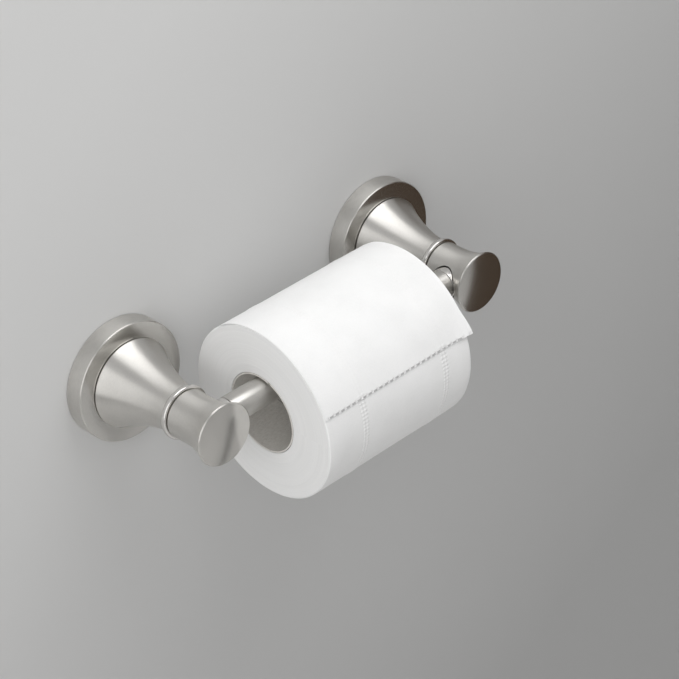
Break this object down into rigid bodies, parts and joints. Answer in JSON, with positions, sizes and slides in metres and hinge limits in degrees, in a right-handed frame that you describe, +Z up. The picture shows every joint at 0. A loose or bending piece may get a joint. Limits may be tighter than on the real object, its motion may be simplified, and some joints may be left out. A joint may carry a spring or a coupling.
{
  "type": "toilet paper holder",
  "caption": "Wall-mounted double-post toilet paper holder in satin nickel with a sprung telescoping roller carrying a roll of white tissue.",
  "frame": {"origin": "on the wall plane, midway between the two posts at the height of their axes", "axes": "+X along the roller to the right as seen facing the wall, +Y into the wall, +Z up"},
  "size_m": [0.243, 0.1405, 0.0957],
  "materials": {
    "satin_nickel": "satin brushed nickel",
    "polished_nickel": "polished nickel",
    "zinc_steel": "zinc-plated steel",
    "black_steel": "black oxide",
    "spring_steel": "drawn wire",
    "grey_nylon": "moulded",
    "white_nylon": "moulded",
    "core_board": "spiral-wound grey board",
    "tissue": "soft white tissue paper"
  },
  "bodies": {
    "posts": {"clamp_plate_left": "zinc_steel", "clamp_plate_right": "zinc_steel", "flange_left": "satin_nickel", "flange_right": "satin_nickel", "grub_screw_left": "black_steel", "grub_screw_right": "black_steel", "neck_bead_left": "polished_nickel", "neck_bead_right": "polished_nickel", "post_cone_left": "satin_nickel", "post_cone_right": "satin_nickel", "post_head_left": "satin_nickel", "post_head_right": "satin_nickel", "socket_bush_left": "white_nylon", "socket_bush_right": "white_nylon", "tie_nut_left": "zinc_steel", "tie_nut_right": "zinc_steel", "tie_stud_left": "zinc_steel", "tie_stud_right": "zinc_steel", "tie_washer_left": "zinc_steel", "tie_washer_right": "zinc_steel", "wall_anchor_inner_left": "grey_nylon", "wall_anchor_inner_right": "grey_nylon", "wall_anchor_outer_left": "grey_nylon", "wall_anchor_outer_right": "grey_nylon", "wall_bracket_left": "zinc_steel", "wall_bracket_right": "zinc_steel", "wall_screw_inner_left": "zinc_steel", "wall_screw_inner_right": "zinc_steel", "wall_screw_outer_left": "zinc_steel", "wall_screw_outer_right": "zinc_steel"},
    "roller": {"roller_barrel": "satin_nickel", "barrel_end_plug": "polished_nickel", "roller_spring": "spring_steel"},
    "plunger": {"roller_plunger": "satin_nickel", "plunger_end_plug": "polished_nickel", "plunger_guide": "white_nylon"},
    "roll": {"roll_core": "core_board", "paper_roll": "tissue", "sheet_end": "tissue"}
  },
  "joints": [
    {"name": "roller_spin", "type": "hinge", "parent": "posts", "child": "roller", "pos_m": [0, -0.0653, 0], "axis": [1, 0, 0], "continuous": true},
    {"name": "plunger_slide", "type": "slide", "parent": "roller", "child": "plunger", "axis": [1, 0, 0], "range_m": [0, 0.011], "stiffness_N_per_m": 350, "springref_m": -0.01, "deforming": ["roller_spring"]},
    {"name": "roll_spin", "type": "hinge", "parent": "posts", "child": "roll", "pos_m": [-0.0039, -0.0653, -0.0124], "axis": [1, 0, 0], "continuous": true}
  ]
}
